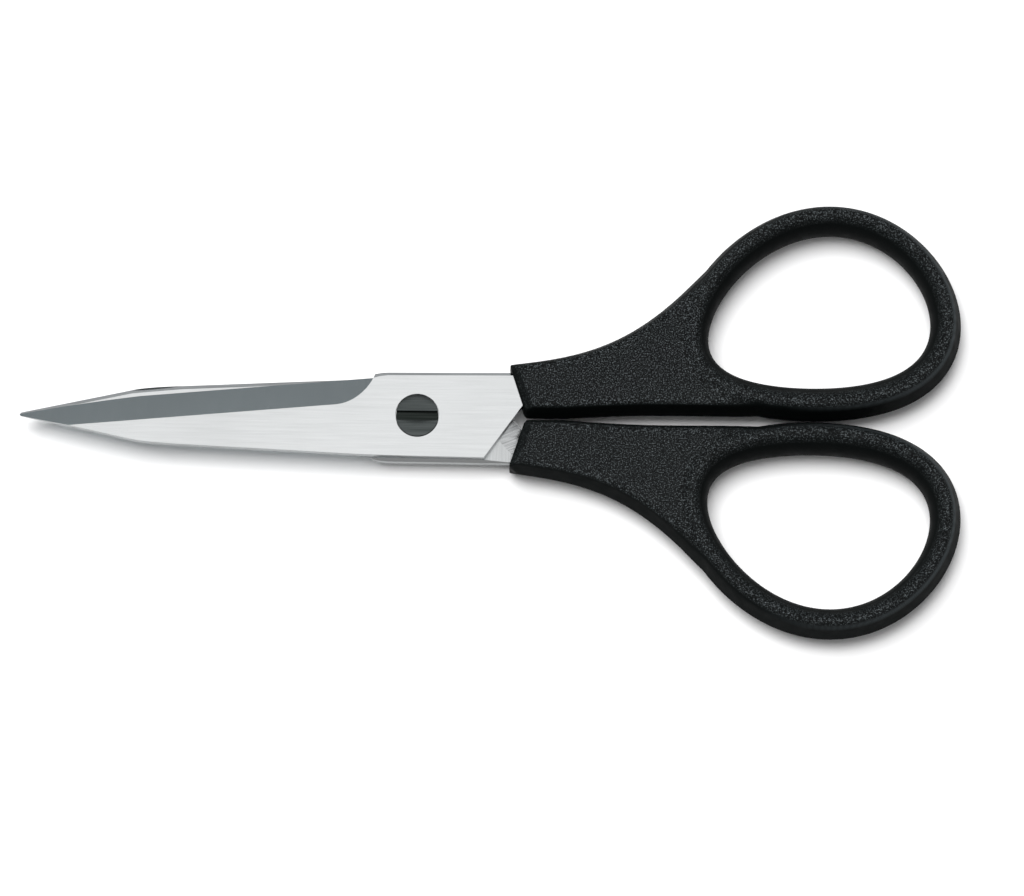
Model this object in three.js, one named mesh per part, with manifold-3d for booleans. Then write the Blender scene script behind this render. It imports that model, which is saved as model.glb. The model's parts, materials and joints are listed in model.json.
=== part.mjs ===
// Small straight scissors: two steel blades, two moulded handles with closed finger rings, one screw.
// Units are millimetres. The scissors lie flat and closed, with the tip towards -X, the rings towards
// +X and the faces of the blades parallel to the XY plane. The two halves are one shape: the lower
// half is the upper half turned over about the X axis, on which the pivot sits.
import * as THREE from 'three';
import { mergeVertices } from 'three/addons/utils/BufferGeometryUtils.js';
import Module from 'manifold-3d';

const wasm = await Module();
wasm.setup();

// Whole object
const OVERALL_LENGTH = 100;
const TIP_REACH = 42.25; // pivot to tip
const RING_THICKNESS = 6.4;
const NECK_THICKNESS = 5.6;

// Blades
const BLADE_THICKNESS = 1.5;
const PARTING_GAP = 0.02; // each blade's distance from the plane between them
const BEVEL_ANGLE = THREE.MathUtils.degToRad(27.4);
const BEVEL_START = new THREE.Vector2(-35.3, -1.27); // the bevel meets the spine here
const BEVEL_HEADING = THREE.MathUtils.degToRad(5.1);
const BEVEL_STRAIGHT = 26.7;
const HEEL_RADIUS = 4.4;
const EDGE_CHAMFER = 0.34; // along the back's inner edge and the ricasso's outer edge
const MOULDING_CLEARANCE = 0.04; // plastic to steel

// Screw
const HEAD_RADIUS = 2.26;
const HEAD_HEIGHT = 0.75;
const HEAD_PROUD = 0.06;
const SHANK_RADIUS = 1.45;
const RUNNING_CLEARANCE = 0.05;
const THREAD_CLEARANCE = 0.02;
const SLOT_WIDTH = 0.95;
const SLOT_DEPTH = 0.5;
const ROUND_SEGMENTS = 48;

// Finger ring: the hole is an egg-shaped closed curve, and the ring is a band round it
const HOLE_CENTRE = new THREE.Vector2(42.5, 10.82);
const HOLE_HALF_LENGTH = 11.86;
const HOLE_HALF_WIDTH = 8.31;
const HOLE_EGG = 0.139; // how much wider the far end is
const HOLE_SAG = -0.98; // how far the two ends bend towards the other ring
const HOLE_TILT = 0.147;
const BAND_WIDTH = 3.2;
const BAND_EXTRA = 0.3; // the band is wider by this where the two rings touch
const RING_STEPS = 60;

// Neck of the handle
const NECK_SIDE = 0.06; // half of the slit between the two necks
const FRONT_FOOT = new THREE.Vector2(11.54, NECK_SIDE);
const FRONT_SHOULDER = new THREE.Vector2(9.62, 5.9);
const NECK_DRAFT = 0.75; // how far the neck's sides lean in between mid thickness and the top

const steel = () => new THREE.MeshStandardMaterial({ color: 0xd8dcde, metalness: 1, roughness: 0.35 });
const plastic = () => new THREE.MeshStandardMaterial({ color: 0x1c201f, metalness: 0, roughness: 0.7 });
const darkSteel = () => new THREE.MeshStandardMaterial({ color: 0x5a6060, metalness: 1, roughness: 0.45 });

// A closed geometry as a solid that can be joined and cut.
function solid(geometry) {
  const bare = new THREE.BufferGeometry();
  bare.setAttribute('position', geometry.getAttribute('position'));
  if (geometry.index) bare.setIndex(geometry.index);
  const merged = mergeVertices(bare, 1e-4);
  return new wasm.Manifold(new wasm.Mesh({
    numProp: 3,
    vertProperties: merged.attributes.position.array,
    triVerts: new Uint32Array(merged.index.array),
  }));
}

function namedMesh(name, shape, material) {
  const cut = shape.getMesh();
  const geometry = new THREE.BufferGeometry();
  geometry.setAttribute('position', new THREE.BufferAttribute(cut.vertProperties, 3));
  geometry.setIndex(new THREE.BufferAttribute(cut.triVerts, 1));
  const facets = geometry.toNonIndexed();
  facets.computeVertexNormals();
  const mesh = new THREE.Mesh(facets, material);
  mesh.name = name;
  return mesh;
}

// A flat shape given thickness from z = bottom to z = top.
function plate(shape, bottom, top, curveSegments = 12) {
  const geometry = new THREE.ExtrudeGeometry(shape, {
    depth: top - bottom, bevelEnabled: false, curveSegments,
  });
  return geometry.translate(0, 0, bottom);
}

// A flat shape made into a moulding centred on z = 0, its sides leaning in from the outline.
function draftedMoulding(shape, thickness, draft, curveSegments) {
  const parting = 0.1; // height of the upright band at mid thickness
  const geometry = new THREE.ExtrudeGeometry(shape, {
    depth: parting, curveSegments, bevelSegments: 1,
    bevelEnabled: true, bevelSize: draft, bevelOffset: -draft, bevelThickness: (thickness - parting) / 2,
  });
  return geometry.translate(0, 0, -parting / 2);
}

function roundBar(radius, bottom, top) {
  const profile = [
    new THREE.Vector2(0, bottom), new THREE.Vector2(radius, bottom),
    new THREE.Vector2(radius, top), new THREE.Vector2(0, top),
  ];
  return new THREE.LatheGeometry(profile, ROUND_SEGMENTS).rotateX(Math.PI / 2);
}

// ---- Blades ----

// The hidden part of the blade, narrowed by a shoulder just inside the handle. The outline runs
// from the shank's diagonal, round the tang's end and back to the shoulder.
function traceTang(outline) {
  outline.lineTo(11.25, 1.3);
  outline.lineTo(24.2, 3.5);
  outline.absarc(24.0, 4.7, 1.2, -Math.PI / 2, Math.PI / 2, false);
  outline.lineTo(12.2, 4.4);
  outline.lineTo(10.7, 4.4);
  outline.lineTo(10.7, 4.78);
}

function addTangHoles(outline) {
  for (const [x, y] of [[15.5, 3.2], [21, 4.1]]) {
    outline.holes.push(new THREE.Path().absarc(x, y, 0.75, 0, 2 * Math.PI, true));
  }
}

function bladeOutline() {
  const outline = new THREE.Shape();
  outline.moveTo(-TIP_REACH, -0.08);
  outline.lineTo(-42.1, -0.31);
  outline.lineTo(-30.4, -2.84); // straight back of the point
  outline.quadraticCurveTo(-29, -3.15, -25, -3.35);
  outline.lineTo(-8, -4.16);
  outline.quadraticCurveTo(-4.5, -4.33, 0, -4.39);
  outline.lineTo(7.1, -4.49);
  traceTang(outline);
  outline.lineTo(-3.2, 4.68); // ricasso
  outline.quadraticCurveTo(-4.3, 4.62, -5, 4.32); // heel of the cutting edge
  outline.lineTo(-13, 3.57);
  outline.quadraticCurveTo(-27.5, 2.98, -TIP_REACH, -0.08);
  addTangHoles(outline);
  return outline;
}

// A cutter whose underside slopes down from the blade's face along a straight line.
function slopedCutter(section, start, heading, angle) {
  return solid(plate(section, 0, 4)
    .rotateX(-angle)
    .rotateZ(heading)
    .translate(start.x, start.y, BLADE_THICKNESS));
}

// The ground bevel runs out at the heel in the round of the grinding wheel.
function bevelCutter() {
  const section = new THREE.Shape();
  section.moveTo(-12, 0);
  section.lineTo(BEVEL_STRAIGHT, 0);
  section.absarc(BEVEL_STRAIGHT, HEEL_RADIUS, HEEL_RADIUS, -Math.PI / 2, 0, false);
  section.lineTo(BEVEL_STRAIGHT + HEEL_RADIUS, 8);
  section.lineTo(-12, 8);
  return slopedCutter(section, BEVEL_START, BEVEL_HEADING, BEVEL_ANGLE);
}

// A bar that takes a 45 degree strip off a straight edge from one point to another.
function edgeBar(from, to, height) {
  const along = new THREE.Vector2().subVectors(to, from);
  const side = EDGE_CHAMFER * Math.SQRT2;
  return solid(new THREE.BoxGeometry(along.length() + 1, side, side)
    .rotateX(Math.PI / 4)
    .rotateZ(along.angle())
    .translate((from.x + to.x) / 2, (from.y + to.y) / 2, height));
}

function buildBlade(holeCutters) {
  let blade = solid(plate(bladeOutline(), PARTING_GAP, BLADE_THICKNESS));
  const cutters = [
    bevelCutter(),
    edgeBar(new THREE.Vector2(-41, -0.55), new THREE.Vector2(-30.2, -2.88), PARTING_GAP),
    edgeBar(new THREE.Vector2(-28.5, -3.18), new THREE.Vector2(-8, -4.16), PARTING_GAP),
    edgeBar(new THREE.Vector2(-2.8, 4.69), new THREE.Vector2(9.6, 4.77), BLADE_THICKNESS),
    ...holeCutters,
  ];
  for (const cutter of cutters) blade = blade.subtract(cutter);
  return blade;
}

function buildFrontBlade() {
  return buildBlade([
    solid(roundBar(SHANK_RADIUS + RUNNING_CLEARANCE, -1, 3)),
    solid(roundBar(HEAD_RADIUS + 0.08, BLADE_THICKNESS + HEAD_PROUD - HEAD_HEIGHT - RUNNING_CLEARANCE, 3)),
  ]);
}

function buildRearBlade() {
  return buildBlade([solid(roundBar(SHANK_RADIUS + THREAD_CLEARANCE, -1, 3))]);
}

// ---- Handles ----

// A point of the ring's band: share 0 is on the edge of the finger hole and share 1 on the outside.
function ringPoint(turn, share) {
  const band = BAND_WIDTH + BAND_EXTRA * ((1 - Math.sin(turn)) / 2) ** 2;
  const slope = new THREE.Vector2(
    -HOLE_HALF_LENGTH * Math.sin(turn),
    HOLE_HALF_WIDTH * (Math.cos(turn) + HOLE_EGG * Math.cos(2 * turn)) - 2 * HOLE_SAG * Math.sin(2 * turn),
  ).normalize();
  const point = new THREE.Vector2(
    HOLE_HALF_LENGTH * Math.cos(turn),
    HOLE_HALF_WIDTH * (1 + HOLE_EGG * Math.cos(turn)) * Math.sin(turn) + HOLE_SAG * Math.cos(2 * turn),
  );
  point.add(new THREE.Vector2(slope.y, -slope.x).multiplyScalar(share * band));
  return point.rotateAround(new THREE.Vector2(), HOLE_TILT).add(HOLE_CENTRE);
}

// Part of the ring's curve, from one turn angle to another.
function ringArc(from, to, share, steps) {
  return Array.from({ length: steps + 1 }, (_, i) => ringPoint(from + (to - from) * i / steps, share));
}

// One quarter of the ring's section as [share of the band, height], from the outside to the crest and
// on to the hole: a drafted outer side, a crisp edge, a narrow flat and a broad round down to the finger.
function sectionTop() {
  const crest = 0.52;
  const half = RING_THICKNESS / 2;
  const points = [[1, 0], [0.79, 2.7], [0.75, 2.9], [0.66, half]];
  const roundSteps = 7;
  for (let i = 0; i < roundSteps; i++) {
    const angle = Math.PI / 2 * (1 - i / roundSteps);
    points.push([crest * (1 - Math.cos(angle)), half * Math.sin(angle)]);
  }
  points.push([0, 0]);
  return points;
}

function buildRing() {
  const top = sectionTop();
  const under = top.slice(1, -1).reverse().map(([share, height]) => [share, -height]);
  const section = [...top, ...under];
  const positions = [];
  const faces = [];
  for (let i = 0; i < RING_STEPS; i++) {
    for (const [share, height] of section) {
      const point = ringPoint(2 * Math.PI * i / RING_STEPS, share);
      positions.push(point.x, point.y, height);
    }
    const here = i * section.length;
    const next = (i + 1) % RING_STEPS * section.length;
    for (let j = 0; j < section.length; j++) {
      const k = (j + 1) % section.length;
      faces.push(here + j, next + j, here + k, here + k, next + j, next + k);
    }
  }
  const geometry = new THREE.BufferGeometry();
  geometry.setAttribute('position', new THREE.Float32BufferAttribute(positions, 3));
  geometry.setIndex(faces);
  return solid(geometry);
}

// The neck's far end lies inside the ring's band, following the near end of the finger hole.
function buildNeck() {
  const lowerTurn = 1.32 * Math.PI;
  const upperTurn = 0.66 * Math.PI;
  const lowerJoin = ringPoint(lowerTurn, 1);
  const upperJoin = ringPoint(upperTurn, 1);
  const nearEnd = ringArc(lowerTurn, upperTurn, 0.12, 14);
  const outline = new THREE.Shape();
  outline.moveTo(FRONT_FOOT.x, FRONT_FOOT.y);
  outline.lineTo(15.5, NECK_SIDE);
  outline.bezierCurveTo(18.5, 0.22, 22, 0.5, 27, 0.5);
  outline.bezierCurveTo(30.5, 0.5, 33, 0.42, lowerJoin.x, lowerJoin.y);
  for (const point of nearEnd) outline.lineTo(point.x, point.y);
  outline.lineTo(upperJoin.x, upperJoin.y);
  outline.lineTo(29, 14.8);
  outline.bezierCurveTo(22.9, 8.48, 18, 6.75, FRONT_SHOULDER.x, FRONT_SHOULDER.y);
  return solid(draftedMoulding(outline, NECK_THICKNESS, NECK_DRAFT, 8));
}

// The room that the plastic leaves for the tang, with a pin of plastic through each tang hole.
function tangPocket() {
  const outline = new THREE.Shape();
  outline.moveTo(8.2, -3);
  traceTang(outline);
  outline.lineTo(8.2, 5.1);
  addTangHoles(outline);
  const geometry = new THREE.ExtrudeGeometry(outline, {
    depth: BLADE_THICKNESS - PARTING_GAP, curveSegments: 12, bevelSegments: 1,
    bevelEnabled: true, bevelSize: MOULDING_CLEARANCE, bevelThickness: MOULDING_CLEARANCE,
  });
  return solid(geometry.translate(0, 0, PARTING_GAP));
}

function buildHandle() {
  return buildRing().add(buildNeck()).subtract(tangPocket());
}

// ---- Screw ----

function buildScrew() {
  const top = BLADE_THICKNESS + HEAD_PROUD;
  const edgeBreak = 0.12;
  const profile = [
    new THREE.Vector2(0, -BLADE_THICKNESS),
    new THREE.Vector2(SHANK_RADIUS - edgeBreak, -BLADE_THICKNESS),
    new THREE.Vector2(SHANK_RADIUS, -BLADE_THICKNESS + edgeBreak),
    new THREE.Vector2(SHANK_RADIUS, top - HEAD_HEIGHT),
    new THREE.Vector2(HEAD_RADIUS, top - HEAD_HEIGHT),
    new THREE.Vector2(HEAD_RADIUS, top - edgeBreak),
    new THREE.Vector2(HEAD_RADIUS - edgeBreak, top),
    new THREE.Vector2(0, top),
  ];
  const body = solid(new THREE.LatheGeometry(profile, ROUND_SEGMENTS).rotateX(Math.PI / 2));
  const slot = new THREE.BoxGeometry(3 * HEAD_RADIUS, SLOT_WIDTH, 2 * SLOT_DEPTH);
  return body.subtract(solid(slot.translate(0, 0, top)));
}

// ---- The whole object ----

const upperHalf = new THREE.Group();
upperHalf.add(namedMesh('front_blade', buildFrontBlade(), steel()));
upperHalf.add(namedMesh('upper_handle', buildHandle(), plastic()));

const lowerHalf = new THREE.Group();
lowerHalf.add(namedMesh('rear_blade', buildRearBlade(), steel()));
lowerHalf.add(namedMesh('lower_handle', buildHandle(), plastic()));
lowerHalf.rotation.x = Math.PI;

const group = new THREE.Group();
group.add(upperHalf, lowerHalf, namedMesh('pivot_screw', buildScrew(), darkSteel()));
// The origin is at the middle of the outline, on the surface that the rings lie on.
group.position.set(TIP_REACH - OVERALL_LENGTH / 2, 0, RING_THICKNESS / 2);

export default group;
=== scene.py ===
"""Small straight scissors: two ground steel blades, two moulded handles and a slotted pivot screw.

Every piece is modelled in millimetres about the pivot, with the plane between the blades at z = 0,
the tip towards -X and the rings towards +X. It is then placed in the frame, in metres. The lower
half is the upper half turned over about the X axis.
"""

from __future__ import annotations

import json
import logging
import math
from dataclasses import dataclass, field, replace
from enum import Enum
from typing import ClassVar

import bmesh
import bpy
from mathutils import Euler, Matrix, Vector
from mathutils.kdtree import KDTree


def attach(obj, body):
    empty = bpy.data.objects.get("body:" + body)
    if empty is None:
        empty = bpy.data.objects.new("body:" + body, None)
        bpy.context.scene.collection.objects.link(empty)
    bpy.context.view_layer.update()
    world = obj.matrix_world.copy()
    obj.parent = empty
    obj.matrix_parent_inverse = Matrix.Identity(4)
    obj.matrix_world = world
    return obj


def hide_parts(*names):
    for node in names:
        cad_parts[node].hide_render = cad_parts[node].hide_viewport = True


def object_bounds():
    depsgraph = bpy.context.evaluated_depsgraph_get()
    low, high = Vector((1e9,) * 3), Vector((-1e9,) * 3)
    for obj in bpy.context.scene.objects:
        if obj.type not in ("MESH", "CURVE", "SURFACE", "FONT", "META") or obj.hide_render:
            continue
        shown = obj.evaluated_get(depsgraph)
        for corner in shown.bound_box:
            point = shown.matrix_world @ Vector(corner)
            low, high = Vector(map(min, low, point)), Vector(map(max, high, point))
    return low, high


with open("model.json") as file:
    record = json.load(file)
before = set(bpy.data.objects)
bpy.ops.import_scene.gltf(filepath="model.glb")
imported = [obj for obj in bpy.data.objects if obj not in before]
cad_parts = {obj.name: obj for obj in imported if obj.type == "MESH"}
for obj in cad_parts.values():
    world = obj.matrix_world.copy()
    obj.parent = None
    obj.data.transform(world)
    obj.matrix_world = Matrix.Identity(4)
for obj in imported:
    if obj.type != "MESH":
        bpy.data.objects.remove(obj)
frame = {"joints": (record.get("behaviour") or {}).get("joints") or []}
cad_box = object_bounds()

log = logging.getLogger("scissors")
MM = 0.001
Point = tuple[float, float]
Socket = bpy.types.NodeSocket


def pivot_place() -> Matrix:
    """Gives the matrix that takes millimetres about the pivot to metres in the frame."""
    joint = frame["joints"][0]
    return Matrix.Translation(Vector(joint["pos_m"])) @ Matrix.Scale(MM, 4)


class Half(Enum):
    """The two halves of the scissors, named by where their handle lies."""

    UPPER = "upper"
    LOWER = "lower"

    @property
    def body(self) -> str:
        """Names the frame's body that this half rides on."""
        return f"{self.value}_half"

    @property
    def place(self) -> Matrix:
        """Gives the matrix that puts this half, modelled as the upper one, in the frame."""
        turn = 0.0 if self is Half.UPPER else math.pi
        return pivot_place() @ Matrix.Rotation(turn, 4, "X")


# ---- Benchwork: outlines, solids and cuts ----


@dataclass
class Outline:
    """A flat outline drawn with straight and curved strokes, in millimetres."""

    points: list[Point] = field(default_factory=list)

    def line_to(self, *corners: Point) -> "Outline":
        """Adds straight strokes to each corner in turn."""
        self.points.extend(corners)
        return self

    def curve_to(self, handles: list[Point], end: Point, steps: int = 12) -> "Outline":
        """Adds a Bezier stroke from the last point.

        Args:
            handles: One or two control points between the last point and the end.
            end: Where the stroke ends.
            steps: Number of straight pieces that stand for the curve.

        Returns:
            The outline itself.
        """
        knots = [Vector(p) for p in (self.points[-1], *handles, end)]
        for step in range(1, steps + 1):
            share = step / steps
            level = knots
            while len(level) > 1:
                level = [a.lerp(b, share) for a, b in zip(level, level[1:])]
            self.points.append((level[0].x, level[0].y))
        return self

    def arc_to(self, centre: Point, radius: float, start: float, end: float, steps: int = 12) -> "Outline":
        """Adds a round stroke about a centre, between two angles in degrees."""
        for step in range(steps + 1):
            angle = math.radians(start + (end - start) * step / steps)
            self.points.append((centre[0] + radius * math.cos(angle), centre[1] + radius * math.sin(angle)))
        return self


def flat_face(bm: bmesh.types.BMesh, outline: Outline, height: float) -> bmesh.types.BMFace:
    """Fills an outline with one face at the given height."""
    return bm.faces.new([bm.verts.new((x, y, height)) for x, y in outline.points])


def extruded(outline: Outline, bottom: float, top: float) -> bmesh.types.BMesh:
    """Makes a plate of even thickness from an outline.

    Args:
        outline: The plate's outline, counterclockwise.
        bottom: Height of the lower face.
        top: Height of the upper face.

    Returns:
        A closed solid with its faces pointing outwards.
    """
    bm = bmesh.new()
    face = flat_face(bm, outline, bottom)
    raised = bmesh.ops.extrude_face_region(bm, geom=[face], use_keep_orig=True)["geom"]
    verts = [item for item in raised if isinstance(item, bmesh.types.BMVert)]
    bmesh.ops.translate(bm, verts=verts, vec=(0, 0, top - bottom))
    bmesh.ops.recalc_face_normals(bm, faces=bm.faces)
    return bm


def turned(profile: list[Point], steps: int = 96) -> bmesh.types.BMesh:
    """Turns a profile of (radius, height) points about the Z axis into a closed solid."""
    bm = bmesh.new()
    verts = [bm.verts.new((radius, 0, height)) for radius, height in profile]
    edges = [bm.edges.new(pair) for pair in zip(verts, verts[1:])]
    bmesh.ops.spin(bm, geom=verts + edges, cent=(0, 0, 0), axis=(0, 0, 1), angle=2 * math.pi,
                   steps=steps, use_merge=True)
    bmesh.ops.remove_doubles(bm, verts=bm.verts, dist=1e-5)
    bmesh.ops.recalc_face_normals(bm, faces=bm.faces)
    return bm


def sloped_block(start: Point, end: Point, slope: float, width: float = 6.0, height: float = 3.0,
                 overrun: float = 0.6) -> bmesh.types.BMesh:
    """Makes a cutter block whose underside falls away to the left of a line.

    Args:
        start: Start of the line, on the surface to be cut.
        end: End of the line.
        slope: Fall of the underside, in degrees.
        width: Reach of the block across the line.
        height: Height of the block.
        overrun: How far the block runs past both ends.

    Returns:
        The block, with the line at z = 0.
    """
    along = Vector(end) - Vector(start)
    bm = bmesh.new()
    bmesh.ops.create_cube(bm, size=1.0)
    bmesh.ops.translate(bm, verts=bm.verts, vec=(0.5, 0.5, 0.5))
    bmesh.ops.scale(bm, verts=bm.verts, vec=(along.length + 2 * overrun, width, height))
    bmesh.ops.translate(bm, verts=bm.verts, vec=(-overrun, 0, 0))
    tilt = Matrix.Rotation(math.radians(-slope), 4, "X")
    heading = Matrix.Rotation(math.atan2(along.y, along.x), 4, "Z")
    bmesh.ops.transform(bm, matrix=heading @ tilt, verts=bm.verts)
    bmesh.ops.translate(bm, verts=bm.verts, vec=(start[0], start[1], 0))
    return bm


def edge_bar(start: Point, end: Point, height: float, width: float) -> bmesh.types.BMesh:
    """Makes a bar on its edge that takes a 45 degree strip off a straight edge.

    Args:
        start: One end of the edge.
        end: The other end.
        height: Height of the edge.
        width: How far the strip reaches in from the edge.

    Returns:
        The bar.
    """
    along = Vector(end) - Vector(start)
    middle = (Vector(start) + Vector(end)) / 2
    bm = bmesh.new()
    bmesh.ops.create_cube(bm, size=1.0)
    bmesh.ops.scale(bm, verts=bm.verts, vec=(along.length + 0.2, width * math.sqrt(2), width * math.sqrt(2)))
    turn = Matrix.Rotation(math.atan2(along.y, along.x), 4, "Z") @ Matrix.Rotation(math.pi / 4, 4, "X")
    return moved(bm, Matrix.Translation((middle.x, middle.y, height)) @ turn)


def moved(bm: bmesh.types.BMesh, matrix: Matrix) -> bmesh.types.BMesh:
    """Moves a whole solid and gives it back."""
    bmesh.ops.transform(bm, matrix=matrix, verts=bm.verts)
    return bm


def bench_object(bm: bmesh.types.BMesh, name: str) -> bpy.types.Object:
    """Puts a solid in the scene as an object and frees the bmesh."""
    mesh = bpy.data.meshes.new(name)
    bm.to_mesh(mesh)
    bm.free()
    made = bpy.data.objects.new(name, mesh)
    bpy.context.scene.collection.objects.link(made)
    return made


def settle(piece: bpy.types.Object) -> bpy.types.Object:
    """Applies a piece's modifiers to its mesh."""
    bpy.context.view_layer.update()
    shown = piece.evaluated_get(bpy.context.evaluated_depsgraph_get())
    mesh = bpy.data.meshes.new_from_object(shown)
    piece.modifiers.clear()
    old = piece.data
    piece.data = mesh
    bpy.data.meshes.remove(old)
    mesh.name = piece.name
    return piece


def cut(piece: bpy.types.Object, cutters: list[bmesh.types.BMesh]) -> bpy.types.Object:
    """Cuts each solid out of a piece, one after another."""
    tools = [bench_object(cutter, "cutter") for cutter in cutters]
    for tool in tools:
        change = piece.modifiers.new("cut", "BOOLEAN")
        change.operation = "DIFFERENCE"
        change.solver = "MANIFOLD"
        change.object = tool
    settle(piece).data.materials.clear()
    for tool in tools:
        bpy.data.meshes.remove(tool.data)
    return piece


def one_skin(piece: bpy.types.Object, step: float) -> bpy.types.Object:
    """Rebuilds a piece's surface as one closed skin of even squares of the given size."""
    skin = piece.modifiers.new("one_skin", "REMESH")
    skin.mode = "VOXEL"
    skin.voxel_size = step
    return settle(piece)


def break_edges(piece: bpy.types.Object, width: float, segments: int = 2,
                angle: float = 20) -> bpy.types.Object:
    """Takes the sharpness off a piece's edges with a small even bevel."""
    change = piece.modifiers.new("edges", "BEVEL")
    change.width = width
    change.segments = segments
    change.limit_method = "ANGLE"
    change.angle_limit = math.radians(angle)
    change.use_clamp_overlap = True
    return settle(piece)


def place(piece: bpy.types.Object, matrix: Matrix, sharp_angle: float = 30) -> bpy.types.Object:
    """Puts a finished piece in the frame, with smooth shading across its gentle edges."""
    piece.data.transform(matrix)
    piece.data.shade_smooth()
    piece.data.set_sharp_from_angle(angle=math.radians(sharp_angle))
    piece.data.update()
    return piece


# ---- Finishes ----


class Sheet:
    """A material's node sheet, with short ways to lay and link its nodes."""

    def __init__(self, name: str) -> None:
        """Starts a material with a Principled shader.

        Args:
            name: The material's name.
        """
        self.material = bpy.data.materials.new(name)
        self.material.use_nodes = True
        self.tree = self.material.node_tree
        self.shader = self.tree.nodes["Principled BSDF"]
        self.place = self.add("ShaderNodeTexCoord").outputs["Object"]

    def add(self, kind: str, **settings: object) -> bpy.types.Node:
        """Adds a node and sets its plain properties."""
        node = self.tree.nodes.new(kind)
        for key, value in settings.items():
            setattr(node, key, value)
        return node

    def link(self, source: Socket, target: Socket) -> None:
        """Joins an output to an input."""
        self.tree.links.new(source, target)

    def stretched(self, scale: tuple[float, float, float], turn: float = 0.0) -> Socket:
        """Gives object coordinates turned about Z and scaled along each axis.

        Args:
            scale: Scale along the turned X, Y and Z axes, per metre.
            turn: Angle of the turned X axis, in degrees.

        Returns:
            The coordinate socket.
        """
        rotate = self.add("ShaderNodeMapping", vector_type="POINT")
        rotate.inputs["Rotation"].default_value = (0, 0, math.radians(-turn))
        self.link(self.place, rotate.inputs["Vector"])
        resize = self.add("ShaderNodeMapping", vector_type="POINT")
        resize.inputs["Scale"].default_value = scale
        self.link(rotate.outputs["Vector"], resize.inputs["Vector"])
        return resize.outputs["Vector"]

    def attribute(self, name: str) -> Socket:
        """Reads a number painted on the mesh."""
        return self.add("ShaderNodeAttribute", attribute_name=name).outputs["Fac"]

    def product(self, first: Socket, second: Socket) -> Socket:
        """Multiplies two values."""
        node = self.add("ShaderNodeMath", operation="MULTIPLY")
        self.link(first, node.inputs[0])
        self.link(second, node.inputs[1])
        return node.outputs[0]

    def noise(self, where: Socket, scale: float, detail: float = 3.0, rough: float = 0.5) -> Socket:
        """Adds a noise pattern and gives its grey value."""
        node = self.add("ShaderNodeTexNoise")
        node.inputs["Scale"].default_value = scale
        node.inputs["Detail"].default_value = detail
        node.inputs["Roughness"].default_value = rough
        self.link(where, node.inputs["Vector"])
        return node.outputs["Fac"]

    def spread(self, value: Socket, low: float, high: float, start: float = 0.3,
               stop: float = 0.7) -> Socket:
        """Spreads a pattern's middle range over new limits."""
        node = self.add("ShaderNodeMapRange")
        for key, number in (("From Min", start), ("From Max", stop), ("To Min", low), ("To Max", high)):
            node.inputs[key].default_value = number
        self.link(value, node.inputs["Value"])
        return node.outputs["Result"]

    def colours(self, value: Socket, dark: tuple, light: tuple) -> Socket:
        """Turns a value from 0 to 1 into a colour between two."""
        node = self.add("ShaderNodeMix", data_type="RGBA")
        node.inputs[6].default_value = (*dark, 1)
        node.inputs[7].default_value = (*light, 1)
        self.link(value, node.inputs[0])
        return node.outputs[2]

    def bump(self, height: Socket, depth: float, strength: float = 1.0,
             under: Socket | None = None) -> Socket:
        """Adds a bump of the given depth in metres, over an earlier one if there is one."""
        node = self.add("ShaderNodeBump")
        node.inputs["Strength"].default_value = strength
        node.inputs["Distance"].default_value = depth
        self.link(height, node.inputs["Height"])
        if under is not None:
            self.link(under, node.inputs["Normal"])
        return node.outputs["Normal"]


@dataclass(frozen=True)
class BrushedSteel:
    """Stainless steel with fine parallel grinding lines."""

    name: str
    dark: tuple[float, float, float] = (0.66, 0.675, 0.68)
    light: tuple[float, float, float] = (0.70, 0.715, 0.72)
    roughness: tuple[float, float] = (0.17, 0.27)
    line_turn: float = 0.0
    line_depth: float = 1.2e-6

    def material(self) -> bpy.types.Material:
        """Builds the finish."""
        sheet = Sheet(self.name)
        lines = sheet.noise(sheet.stretched((190, 7500, 900), self.line_turn), 1.0, 4.0, 0.6)
        streaks = sheet.noise(sheet.stretched((150, 4200, 300), self.line_turn), 1.0, 3.0)
        smudges = sheet.noise(sheet.place, 90.0, 2.0)
        sheet.shader.inputs["Metallic"].default_value = 1.0
        sheet.link(sheet.colours(sheet.spread(streaks, 0, 1), self.dark, self.light),
                   sheet.shader.inputs["Base Color"])
        mixed = sheet.add("ShaderNodeMath", operation="MULTIPLY_ADD")
        sheet.link(lines, mixed.inputs[0])
        mixed.inputs[1].default_value = 0.7
        sheet.link(sheet.spread(smudges, 0.0, 0.3), mixed.inputs[2])
        sheet.link(sheet.spread(mixed.outputs[0], *self.roughness), sheet.shader.inputs["Roughness"])
        sheet.link(sheet.bump(lines, self.line_depth), sheet.shader.inputs["Normal"])
        return sheet.material


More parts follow.
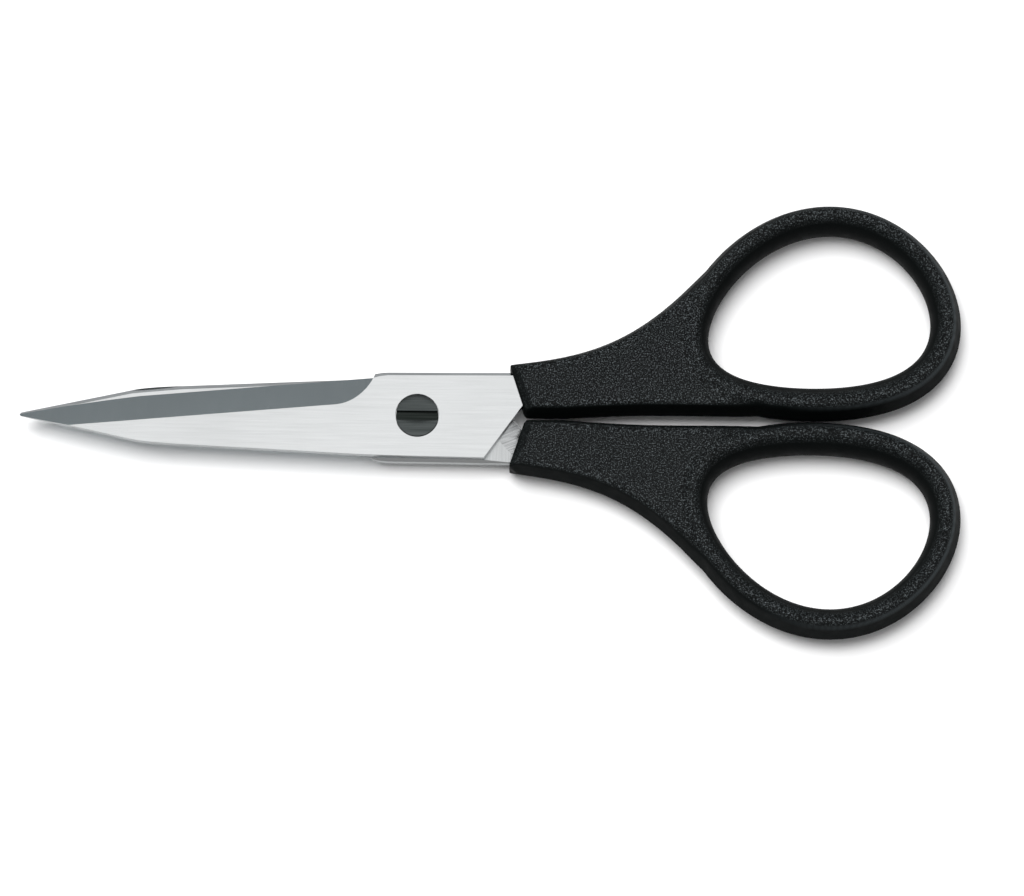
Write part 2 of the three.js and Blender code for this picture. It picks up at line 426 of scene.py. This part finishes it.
@dataclass(frozen=True)
class GrainedPlastic:
    """Black moulded plastic: spark-eroded grain on the tops with painted glint specks that make them read
    lighter as if lit, smooth plain dark upright sides, and a painted highlight along the ring's outer edge.
    """

    name: str = "grained_black_plastic"
    # The flat tops' grain speckle runs from dark to light, and its light specks are painted glints; the
    # upright sides keep the plain dark side colour, so the tops are painted lighter as if lit.
    side: tuple[float, float, float] = (0.004, 0.005, 0.005)
    dark: tuple[float, float, float] = (0.001, 0.0014, 0.0015)
    light: tuple[float, float, float] = (0.14, 0.16, 0.168)
    # Colour of the painted highlight along the ring's outer edge.
    painted_highlight_rim: tuple[float, float, float] = (0.05, 0.058, 0.062)
    grain_scale: float = 7000.0
    grain_depth: float = 4e-5

    def material(self) -> bpy.types.Material:
        """Builds the finish."""
        sheet = Sheet(self.name)
        top = sheet.attribute(Handle.GRAIN_AND_LIT_TOP)
        grain = sheet.noise(sheet.place, self.grain_scale, 2.0, 0.7)
        broad = sheet.noise(sheet.place, self.grain_scale / 9, 2.0)
        # Painted glints: the grain noise lifts some specks to the light colour.
        painted_glint_speckle = sheet.colours(sheet.spread(grain, 0, 1, 0.52, 0.8), self.dark, self.light)
        # Painted light by slope: flat tops take the glint speckle, upright sides the plain dark colour.
        lit_top_mix = sheet.add("ShaderNodeMix", data_type="RGBA")
        sheet.link(top, lit_top_mix.inputs[0])
        lit_top_mix.inputs[6].default_value = (*self.side, 1)
        sheet.link(painted_glint_speckle, lit_top_mix.inputs[7])
        # Painted highlight: lighter colour mixed in along the ring's outer edge.
        highlight_paint = sheet.add("ShaderNodeMix", data_type="RGBA")
        sheet.link(sheet.attribute(Handle.HIGHLIGHT_RIM), highlight_paint.inputs[0])
        sheet.link(lit_top_mix.outputs[2], highlight_paint.inputs[6])
        highlight_paint.inputs[7].default_value = (*self.painted_highlight_rim, 1)
        sheet.link(highlight_paint.outputs[2], sheet.shader.inputs["Base Color"])
        sheet.link(sheet.spread(broad, 0.42, 0.56), sheet.shader.inputs["Roughness"])
        sheet.link(sheet.spread(top, 0.008, 0.16, 0, 1), sheet.shader.inputs["Specular IOR Level"])
        fine = sheet.bump(sheet.product(grain, top), self.grain_depth, 0.8)
        sheet.link(sheet.bump(broad, 3e-5, 0.5, fine), sheet.shader.inputs["Normal"])
        return sheet.material


@dataclass(frozen=True)
class PaleFloor:
    """Plain pale studio floor with a faint unevenness."""

    name: str = "pale_floor"
    dark: tuple[float, float, float] = (0.86, 0.86, 0.865)
    light: tuple[float, float, float] = (0.9, 0.9, 0.9)

    def material(self) -> bpy.types.Material:
        """Builds the finish."""
        sheet = Sheet(self.name)
        cloud = sheet.noise(sheet.place, 12.0, 2.0)
        sheet.link(sheet.colours(cloud, self.dark, self.light), sheet.shader.inputs["Base Color"])
        sheet.shader.inputs["Roughness"].default_value = 0.9
        sheet.shader.inputs["Specular IOR Level"].default_value = 0.1
        return sheet.material


# ---- Pieces ----


class Facet(Enum):
    """The ground surfaces of a blade: finish, slope to the face and line direction, in degrees."""

    FACE = ("blade_face_steel", 0.0, 0.0)
    BEVEL = ("bevel_steel", 27.4, 84.0)
    EDGE = ("edge_steel", 45.0, 0.0)
    BACK = ("back_steel", 90.0, 0.0)
    RICASSO = ("ricasso_steel", 30.0, 0.0)
    SHANK_OUTER = ("shank_outer_steel", 3.0, 88.0)
    SHANK_MIDDLE = ("shank_middle_steel", 9.0, 24.0)
    SHANK_INNER = ("shank_inner_steel", 20.0, 50.0)

    def __init__(self, finish: str, slope: float, line_turn: float) -> None:
        """Keeps the surface's finish name, slope and line direction."""
        self.finish = finish
        self.slope = slope
        self.line_turn = line_turn


@dataclass
class Blade:
    """One blade with its ground bevel, pivot hole, shank and hidden tang.

    All sizes are in millimetres. The blade is modelled as the front one.
    """

    half: Half
    tip_reach: float = 42.25
    thickness: float = 1.5
    gap: float = 0.02
    bevel_start: Point = (-35.3, -1.27)
    bevel_heading: float = 5.1
    bevel_length: float = 26.7
    heel_radius: float = 4.4
    bevel_width: float = 3.2
    bevel_hollow: float = 0.05
    shank_radius: float = 1.5
    head_radius: float = 2.34
    head_depth: float = 0.74
    edge_break: float = 0.05
    edge_strip: float = 0.36
    back_strip: float = 0.44

    @property
    def name(self) -> str:
        """Names the frame's node that this blade stands for."""
        return "front_blade" if self.half is Half.UPPER else "rear_blade"

    def outline(self) -> Outline:
        """Draws the blade and its tang as seen from the front, counterclockwise from the tip."""
        outline = Outline([(-self.tip_reach, -0.08)])
        outline.line_to((-42.1, -0.31), (-30.4, -2.84))
        outline.curve_to([(-29, -3.15)], (-25, -3.35), 10)
        outline.line_to((-8, -4.16))
        outline.curve_to([(-4.5, -4.33)], (0, -4.39), 6)
        outline.line_to((7.1, -4.49), (11.25, 1.3), (24.2, 3.5))
        outline.arc_to((24.0, 4.7), 1.2, -80, 90)
        outline.line_to((12.2, 4.4), (10.7, 4.4), (10.7, 4.78), (-3.2, 4.68))
        outline.curve_to([(-4.3, 4.62)], (-5, 4.32), 10)
        outline.line_to((-13, 3.57))
        outline.curve_to([(-27.5, 2.98)], (-self.tip_reach, -0.08), 28)
        outline.points.pop()
        return outline

    def bevel_cutter(self) -> bmesh.types.BMesh:
        """Makes the round-ended, slightly bellied cutter that leaves the hollow bevel and its heel.

        Returns:
            The cutter, lying along the bevel's upper line.
        """
        run = self.bevel_length
        radius = self.heel_radius
        section = Outline([(-12, 0)])
        section.arc_to((run, radius), radius, -90, 0, 18)
        section.line_to((run + radius, 8), (-12, 8))
        bm = extruded(section, 0, 4)
        upper = [v for v in bm.verts if v.co.z > 2]
        bmesh.ops.scale(bm, verts=upper, vec=(1.03, 1.03, 1), space=Matrix.Translation((12, -8, 0)))
        for cut_line in (0.45, 0.95, 1.5, 2.05, 2.6, self.bevel_width):
            bmesh.ops.bisect_plane(bm, geom=bm.verts[:] + bm.edges[:] + bm.faces[:],
                                   plane_co=(0, cut_line, 0), plane_no=(0, 1, 0))
        for vert in bm.verts:
            share = min(max(vert.co.y / self.bevel_width, 0), 1)
            if vert.co.z < 0.001:
                vert.co.z -= self.bevel_hollow * 4 * share * (1 - share)
        tilt = Matrix.Rotation(math.radians(-Facet.BEVEL.slope), 4, "X")
        heading = Matrix.Rotation(math.radians(self.bevel_heading), 4, "Z")
        start = Matrix.Translation((*self.bevel_start, self.thickness))
        return moved(bm, start @ heading @ tilt)

    def edge_cutters(self) -> list[bmesh.types.BMesh]:
        """Makes the cutters for the strips along the back's inner edge and the ricasso's outer edge."""
        back = [(-42.4, -0.25), (-30.4, -2.84), (-25, -3.35), (-8, -4.16), (0, -4.39), (7.3, -4.49)]
        ricasso = [(-5, 4.32), (-4.1, 4.57), (-3.2, 4.69), (10.4, 4.78)]
        strips = [(back, self.gap, self.back_strip), (ricasso, self.thickness, self.edge_strip)]
        return [edge_bar(start, end, height, width)
                for path, height, width in strips for start, end in zip(path, path[1:])]

    def shank_cutters(self) -> list[bmesh.types.BMesh]:
        """Makes the cutters for the ground facets on the inner side of the shank and the ricasso."""
        turned_over = Matrix.Rotation(math.pi, 4, "X")
        facets = [
            ((11.4, 2.6), (6.5, -4.5), Facet.SHANK_OUTER, 0.0),
            ((7.5, -0.15), (9.75, -5.2), Facet.SHANK_MIDDLE, 0.0),
            ((9.3, 0.78), (11.2, -1.65), Facet.SHANK_INNER, 0.34),
            ((9.7, -4.4), (-4.0, -4.34), Facet.RICASSO, 0.0),
        ]
        cutters = []
        for start, end, facet, depth in facets:
            face = turned_over @ Matrix.Translation((0, 0, -self.gap - depth))
            cutters.append(moved(sloped_block(start, end, facet.slope), face))
        return cutters

    def hole_cutters(self) -> list[bmesh.types.BMesh]:
        """Makes the cutters for the pivot hole and, on the front blade, the seat of the screw head."""
        holes = [turned([(0, -1), (self.shank_radius, -1), (self.shank_radius, 3), (0, 3)])]
        if self.half is Half.UPPER:
            seat = self.thickness - self.head_depth
            holes.append(turned([(0, seat), (self.head_radius, seat), (self.head_radius, 3), (0, 3)]))
        return holes

    def build(self) -> bpy.types.Object:
        """Builds the blade and puts it in the frame.

        Returns:
            The finished blade.
        """
        blank = bench_object(extruded(self.outline(), self.gap, self.thickness), self.name + "_steel")
        cut(blank, [self.bevel_cutter(), *self.edge_cutters(), *self.shank_cutters(), *self.hole_cutters()])
        break_edges(blank, self.edge_break)
        return place(blank, self.half.place, 12)

    def dress(self, piece: bpy.types.Object, finishes: dict[Facet, bpy.types.Material]) -> None:
        """Gives each ground surface its finish, told by its side and its slope.

        Args:
            piece: The blade, already in the frame.
            finishes: The finish of each kind of surface.
        """
        order = list(Facet)
        for facet in order:
            piece.data.materials.append(finishes[facet])
        outward = 1 if self.half is Half.UPPER else -1
        sides = {1: (Facet.FACE, Facet.BEVEL, Facet.EDGE, Facet.BACK),
                 -1: (Facet.FACE, Facet.SHANK_OUTER, Facet.SHANK_MIDDLE, Facet.SHANK_INNER, Facet.RICASSO,
                      Facet.EDGE, Facet.BACK)}
        for polygon in piece.data.polygons:
            side = 1 if polygon.normal.z * outward > 0 else -1
            tilt = math.degrees(math.acos(min(abs(polygon.normal.z), 1)))
            nearest = min(sides[side], key=lambda facet: abs(facet.slope - tilt))
            polygon.material_index = order.index(nearest)


@dataclass
class Handle:
    """One moulded handle: a closed finger ring with a flat-topped neck over the blade's tang.

    All sizes are in millimetres. The handle is modelled as the upper one.
    """

    GRAIN_AND_LIT_TOP: ClassVar[str] = "grain"
    HIGHLIGHT_RIM: ClassVar[str] = "painted_highlight_rim"

    half: Half
    hole_centre: Point = (42.5, 10.82)
    hole_half_length: float = 11.86
    hole_half_width: float = 8.31
    hole_egg: float = 0.139
    hole_sag: float = -0.98
    hole_tilt: float = 0.147
    band: float = 3.2
    band_extra: float = 0.3
    ring_thickness: float = 6.4
    neck_thickness: float = 5.6
    side_gap: float = 0.06
    front_lean: float = -0.75
    front_end: float = 12.0
    lean_end: float = 17.0
    front_slope: float = 45.0
    neck_stages: tuple[tuple[float, float], ...] = ((0.34, 0.46), (0.34, 0.44), (0.12, 0.06), (0.7, 0.04))
    mesh_step: float = 0.17
    valley_width: float = 1.3
    valley_passes: int = 24
    # Place, width and stations of the painted highlight along the ring's outer edge.
    highlight_share: float = 0.77
    highlight_width: float = 0.24
    highlight_stations: int = 240
    # Flatness range of the normals that take the grain and the painted glints.
    lit_grain_from: float = 0.6
    lit_grain_full: float = 0.96

    @property
    def name(self) -> str:
        """Names the frame's node that this handle stands for."""
        return f"{self.half.value}_handle"

    def ring_point(self, turn: float, share: float) -> Vector:
        """Finds a point of the ring's band.

        Args:
            turn: Position along the egg-shaped hole, in radians.
            share: 0 on the edge of the hole, 1 on the outside of the ring.

        Returns:
            The point, at mid thickness.
        """
        slope = Vector((
            -self.hole_half_length * math.sin(turn),
            self.hole_half_width * (math.cos(turn) + self.hole_egg * math.cos(2 * turn))
            - 2 * self.hole_sag * math.sin(2 * turn),
        )).normalized()
        point = Vector((
            self.hole_half_length * math.cos(turn),
            self.hole_half_width * (1 + self.hole_egg * math.cos(turn)) * math.sin(turn)
            + self.hole_sag * math.cos(2 * turn),
        ))
        width = self.band + self.band_extra * ((1 - math.sin(turn)) / 2) ** 2
        point += Vector((slope.y, -slope.x)) * width * share
        return (Matrix.Rotation(self.hole_tilt, 2) @ point + Vector(self.hole_centre)).to_3d()

    def section(self) -> list[Point]:
        """Draws the ring's section: drafted outer side, crisp edge, crest and a broad round to the hole.

        Returns:
            Points of share of the band and height, right round the section.
        """
        half = self.ring_thickness / 2
        crest = 0.56
        top = Outline([(1.0, 0.0)])
        top.line_to((0.96, 0.5), (0.89, 1.4), (0.82, 2.3))
        top.curve_to([(0.775, 2.87)], (0.72, 2.98), 5)
        top.curve_to([(0.64, half)], (crest, half), 4)
        for step in range(1, 13):
            angle = math.pi / 2 * (1 - step / 12)
            top.line_to((crest * (1 - math.cos(angle)), half * math.sin(angle)))
        under = [(share, -height) for share, height in reversed(top.points[1:-1])]
        return top.points + under

    def ring(self, stations: int = 150) -> bmesh.types.BMesh:
        """Sweeps the ring's section round the finger hole.

        Args:
            stations: Number of sections along the ring.

        Returns:
            A closed ring.
        """
        plan = self.section()
        bm = bmesh.new()
        loop = bmesh.ops.create_circle(bm, segments=len(plan), radius=1.0)["verts"]
        loop = sorted(loop, key=lambda vert: math.atan2(vert.co.y, vert.co.x) % (2 * math.pi))
        first = set(loop)
        edges = list(bm.edges)
        for station in range(stations):
            turn = 2 * math.pi * station / stations
            if station:
                made = bmesh.ops.extrude_edge_only(bm, edges=edges)["geom"]
                fresh = {item for item in made if isinstance(item, bmesh.types.BMVert)}
                loop = [next(e.other_vert(v) for e in v.link_edges if e.other_vert(v) in fresh)
                        for v in loop]
                edges = [e for e in made if isinstance(e, bmesh.types.BMEdge) and set(e.verts) <= fresh]
            for vert, (share, height) in zip(loop, plan):
                vert.co = self.ring_point(turn, share)
                vert.co.z = height
        last = set(loop)
        ends = [e for e in bm.edges if set(e.verts) <= last or set(e.verts) <= first]
        bmesh.ops.bridge_loops(bm, edges=ends)
        bmesh.ops.recalc_face_normals(bm, faces=bm.faces)
        return bm

    def neck_outline(self) -> Outline:
        """Draws the neck at mid thickness, its far end inside the ring's band."""
        outline = Outline([(11.54, self.side_gap)])
        outline.line_to((15.5, self.side_gap))
        outline.curve_to([(18.5, 0.22), (22, 0.5)], (27, 0.5), 14)
        low, high = 1.32 * math.pi, 0.66 * math.pi
        join = self.ring_point(low, 0.98)
        outline.curve_to([(30.5, 0.5), (33, 0.42)], (join.x, join.y), 8)
        steps = 14
        for step in range(steps + 1):
            point = self.ring_point(low + (high - low) * step / steps, 0.4)
            outline.line_to((point.x, point.y))
        join = self.ring_point(high, 0.98)
        outline.line_to((join.x, join.y), (29, 14.8))
        outline.curve_to([(22.9, 8.48), (18, 6.75)], (9.62, 5.9), 16)
        return outline

    def neck(self) -> bmesh.types.BMesh:
        """Draws the neck up from its outline, with drafted sides, an upright front and a crowned top.

        Returns:
            A closed solid.
        """
        bm = bmesh.new()
        face = flat_face(bm, self.neck_outline(), 0.0)
        height = self.neck_thickness / 2
        for inset, rise in self.neck_stages:
            bm.normal_update()
            bmesh.ops.inset_region(bm, faces=[face], thickness=inset, depth=rise * height,
                                   use_even_offset=True, use_boundary=True)
        for vert in bm.verts:
            nearness = min(max((self.lean_end - vert.co.x) / (self.lean_end - self.front_end), 0), 1)
            vert.co.x += self.front_lean * nearness * vert.co.z / height
        bmesh.ops.mirror(bm, geom=bm.verts[:] + bm.edges[:] + bm.faces[:], axis="Z", merge_dist=1e-4)
        bmesh.ops.remove_doubles(bm, verts=bm.verts, dist=1e-4)
        bmesh.ops.recalc_face_normals(bm, faces=bm.faces)
        return bm

    def front_cutters(self) -> list[bmesh.types.BMesh]:
        """Makes the cutters for the neck's front corner and for the slopes above and below the blade."""
        corner = extruded(Outline([(9.0, 4.68), (9.7, 5.4), (10.9, 6.1), (11.5, 7.0), (9.0, 7.0)]), -4, 4)
        top = sloped_block((12.55, 0.46), (10.65, 5.21), self.front_slope, overrun=1.5)
        moved(top, Matrix.Translation((0, 0, self.neck_thickness / 2)))
        under = moved(top.copy(), Matrix.Scale(-1, 4, (0, 0, 1)))
        bmesh.ops.reverse_faces(under, faces=under.faces)
        return [corner, top, under]

    def build(self) -> bpy.types.Object:
        """Builds the handle and puts it in the frame.

        Returns:
            The finished handle.
        """
        moulding = bench_object(self.ring(), self.name + "_moulding")
        neck = cut(one_skin(bench_object(self.neck(), "neck"), self.mesh_step), self.front_cutters())
        bm = bmesh.new()
        bm.from_mesh(moulding.data)
        bm.from_mesh(neck.data)
        bm.to_mesh(moulding.data)
        bm.free()
        bpy.data.meshes.remove(neck.data)
        self.soften(one_skin(moulding, self.mesh_step))
        return place(moulding, self.half.place, 60)

    def soften(self, moulding: bpy.types.Object) -> None:
        """Rounds the moulding's edges a little, and the valley between the neck and the ring a lot.

        Args:
            moulding: The handle in millimetres, in one skin.
        """
        low, high = 1.34 * math.pi, 0.64 * math.pi
        stations = 80
        valley = KDTree(stations + 1)
        for step in range(stations + 1):
            valley.insert(self.ring_point(low + (high - low) * step / stations, 0.86), step)
        valley.balance()
        bm = bmesh.new()
        bm.from_mesh(moulding.data)
        relaxed = {"factor": 0.5, "use_axis_x": True, "use_axis_y": True, "use_axis_z": True}
        bmesh.ops.smooth_vert(bm, verts=bm.verts, **relaxed)
        near = []
        for vert in bm.verts:
            level = Vector((vert.co.x, vert.co.y, 0))
            if abs(vert.co.z) > 1.6 and valley.find(level)[2] < self.valley_width:
                near.append(vert)
        for _ in range(self.valley_passes):
            bmesh.ops.smooth_vert(bm, verts=near, **relaxed)
        bm.to_mesh(moulding.data)
        bm.free()

    def dress(self, piece: bpy.types.Object, plastic: bpy.types.Material) -> None:
        """Gives the handle its plastic, and paints where it is grained with painted glints and where a
        painted highlight runs along the ring's outer edge.

        Args:
            piece: The handle, already in the frame.
            plastic: The plastic.
        """
        piece.data.materials.append(plastic)
        # Line along the ring's outer edge where the painted highlight is laid, fading towards its ends.
        painted_highlight_rim = KDTree(self.highlight_stations + 1)
        for step in range(self.highlight_stations + 1):
            share = step / self.highlight_stations
            turn = (1 - share) * -0.62 * math.pi + share * 0.6 * math.pi
            painted_highlight_rim.insert(self.ring_point(turn, self.highlight_share), step)
        painted_highlight_rim.balance()
        home = self.half.place.inverted()
        # This attribute marks the flat tops, which get the grain and the painted glint speckle.
        grain = piece.data.attributes.new(self.GRAIN_AND_LIT_TOP, "FLOAT", "POINT")
        highlight_paint = piece.data.attributes.new(self.HIGHLIGHT_RIM, "FLOAT", "POINT")
        for number, vert in enumerate(piece.data.vertices):
            flatness = (abs(vert.normal.z) - self.lit_grain_from) / (self.lit_grain_full - self.lit_grain_from)
            grain.data[number].value = min(max(flatness, 0), 1)
            spot = home @ vert.co
            if abs(spot.z) > self.ring_thickness / 3:
                _, step, away = painted_highlight_rim.find(Vector((spot.x, spot.y, 0)))
                fading = math.sin(math.pi * step / self.highlight_stations)
                highlight_paint.data[number].value = max(1 - away / self.highlight_width, 0) * fading


@dataclass
class PivotScrew:
    """The slotted screw that holds the halves together. All sizes are in millimetres."""

    head_radius: float = 2.26
    head_height: float = 0.72
    head_top: float = 1.54
    shank_radius: float = 1.45
    end: float = -1.5
    slot_width: float = 0.95
    slot_depth: float = 0.6
    name: str = "pivot_screw"

    def build(self) -> bpy.types.Object:
        """Turns the screw, cuts its slot and puts it in the frame."""
        under = self.head_top - self.head_height
        bm = turned([(0, self.end), (self.shank_radius - 0.12, self.end),
                     (self.shank_radius, self.end + 0.12), (self.shank_radius, under),
                     (self.head_radius, under), (self.head_radius, self.head_top), (0, self.head_top)])
        screw = bench_object(bm, self.name + "_steel")
        slot = bmesh.new()
        bmesh.ops.create_cube(slot, size=1.0)
        size = (3 * self.head_radius, self.slot_width, 2 * self.slot_depth)
        bmesh.ops.scale(slot, verts=slot.verts, vec=size)
        bmesh.ops.translate(slot, verts=slot.verts, vec=(0, 0, self.head_top))
        cut(screw, [slot])
        break_edges(screw, 0.06, 3)
        return place(screw, pivot_place())

    def dress(self, piece: bpy.types.Object, head: bpy.types.Material, slot: bpy.types.Material) -> None:
        """Gives the screw its dark ground steel, and paints its slot near black as painted shade in the
        narrow slot.

        Args:
            piece: The screw, already in the frame.
            head: Finish of the head and the end.
            slot: Near-black painted shade inside the slot.
        """
        piece.data.materials.append(head)
        piece.data.materials.append(slot)
        # The slot's walls and floor get the near-black finish: painted shade in the narrow slot.
        lip = pivot_place() @ Vector((0, self.slot_width / 2, self.head_top - 0.07))
        for polygon in piece.data.polygons:
            low = polygon.center.z < lip.z and polygon.center.z > lip.z - 1.2 * self.slot_depth * MM
            within = abs(polygon.center.y) < lip.y * 1.05
            if low and within:
                polygon.material_index = 1


# ---- Studio ----


@dataclass
class Studio:
    """The floor, lights and camera. Sizes are in metres."""

    seen_width: float = 0.1087
    aim: tuple[float, float] = (0.00234, -0.00313)
    tilt: float = 12.0
    roll: float = 0.01
    lens: float = 400.0
    sensor: float = 36.0
    softbox_height: float = 1.6
    softbox_size: float = 1.33
    softbox_power: float = 4.75
    key_strength: float = 3.6
    key_spread: float = 40.0
    key_from: tuple[float, float, float] = (-0.18, 0.22, 1.0)
    room_grey: float = 0.29

    def floor(self) -> bpy.types.Object:
        """Lays the floor under the rings."""
        bm = bmesh.new()
        bmesh.ops.create_grid(bm, x_segments=8, y_segments=8, size=1.5)
        bmesh.ops.translate(bm, verts=bm.verts, vec=(0, 0, cad_box[0].z))
        floor = bench_object(bm, "studio_floor")
        floor.data.materials.append(PaleFloor().material())
        return floor

    def camera(self) -> None:
        """Sets the camera high above the scissors, tilted a little so that it sees their near sides."""
        level = Vector(frame["joints"][0]["pos_m"]).z
        data = bpy.data.cameras.new("camera")
        data.lens = self.lens
        data.sensor_width = self.sensor
        data.clip_start = 0.01
        data.clip_end = 10
        camera = bpy.data.objects.new("camera", data)
        facing = Euler((math.radians(self.tilt), 0, self.roll))
        back = Vector((0, 0, self.seen_width * self.lens / self.sensor))
        back.rotate(facing)
        camera.location = Vector((*self.aim, level)) + back
        camera.rotation_euler = facing
        bpy.context.scene.collection.objects.link(camera)
        bpy.context.scene.camera = camera

    def lights(self) -> None:
        """Hangs a softbox overhead, a broad key light behind and to the left, and lights the room grey."""
        box = bpy.data.lights.new("overhead_softbox", "AREA")
        box.shape = "SQUARE"
        box.size = self.softbox_size
        box.energy = self.softbox_power
        softbox = bpy.data.objects.new("overhead_softbox", box)
        softbox.location = (0, 0, self.softbox_height)
        sun = bpy.data.lights.new("key_light", "SUN")
        sun.energy = self.key_strength
        sun.angle = math.radians(self.key_spread)
        key = bpy.data.objects.new("key_light", sun)
        key.visible_glossy = False
        key.rotation_euler = Vector(self.key_from).to_track_quat("Z", "Y").to_euler()
        for light in (softbox, key):
            bpy.context.scene.collection.objects.link(light)
        world = bpy.data.worlds.new("studio")
        world.use_nodes = True
        room = world.node_tree.nodes["Background"]
        room.inputs["Color"].default_value = (self.room_grey, self.room_grey, self.room_grey, 1)
        bpy.context.scene.world = world
        bpy.context.scene.view_settings.view_transform = "Standard"


def blade_finishes() -> dict[Facet, bpy.types.Material]:
    """Makes the steel of every ground surface of a blade, with painted shade darkening the edge strips and
    back walls, and darker streaks on the coarse grinds.
    """
    tones = {
        Facet.BEVEL: {"dark": (0.53, 0.605, 0.635), "light": (0.56, 0.635, 0.665), "line_depth": 4e-7},
        # Edge strips and back walls are painted darker: painted shade where they reflect the shadowed floor
        # and the dark gap between the blades.
        Facet.EDGE: {"dark": (0.18, 0.19, 0.195), "light": (0.25, 0.265, 0.27)},
        Facet.BACK: {"dark": (0.27, 0.285, 0.29), "light": (0.34, 0.36, 0.365)},
        Facet.SHANK_OUTER: {"dark": (0.50, 0.515, 0.52), "light": (0.62, 0.635, 0.64)},
        Facet.SHANK_MIDDLE: {"dark": (0.30, 0.31, 0.315), "light": (0.62, 0.635, 0.64)},
    }
    steels = {facet: BrushedSteel(facet.finish, line_turn=facet.line_turn) for facet in Facet}
    return {facet: replace(steel, **tones.get(facet, {})).material() for facet, steel in steels.items()}


def main() -> None:
    """Builds the scissors piece by piece, then the studio."""
    logging.basicConfig(level=logging.INFO, format="%(name)s: %(message)s")
    ground = blade_finishes()
    screw_steel = BrushedSteel("screw_head_steel", (0.05, 0.058, 0.057), (0.09, 0.1, 0.1)).material()
    # Near-black finish inside the screw slot, as painted shade.
    slot_painted_shade = BrushedSteel("screw_slot_steel", (0.012, 0.016, 0.014), (0.03, 0.034, 0.032)).material()
    plastic = GrainedPlastic().material()
    for half in Half:
        parts = ((Blade(half), ground, "blade_steel"), (Handle(half), plastic, "handle_plastic"))
        for part, finish, slot in parts:
            piece = part.build()
            part.dress(piece, finish)
            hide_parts(part.name)
            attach(piece, half.body)
            log.info("%s: %d faces", piece.name, len(piece.data.polygons))
    screw = PivotScrew()
    piece = screw.build()
    screw.dress(piece, screw_steel, slot_painted_shade)
    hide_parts(screw.name)
    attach(piece, Half.LOWER.body)
    log.info("%s: %d faces", piece.name, len(piece.data.polygons))
    studio = Studio()
    studio.floor()
    studio.camera()
    studio.lights()


if __name__ == "__main__":
    main()
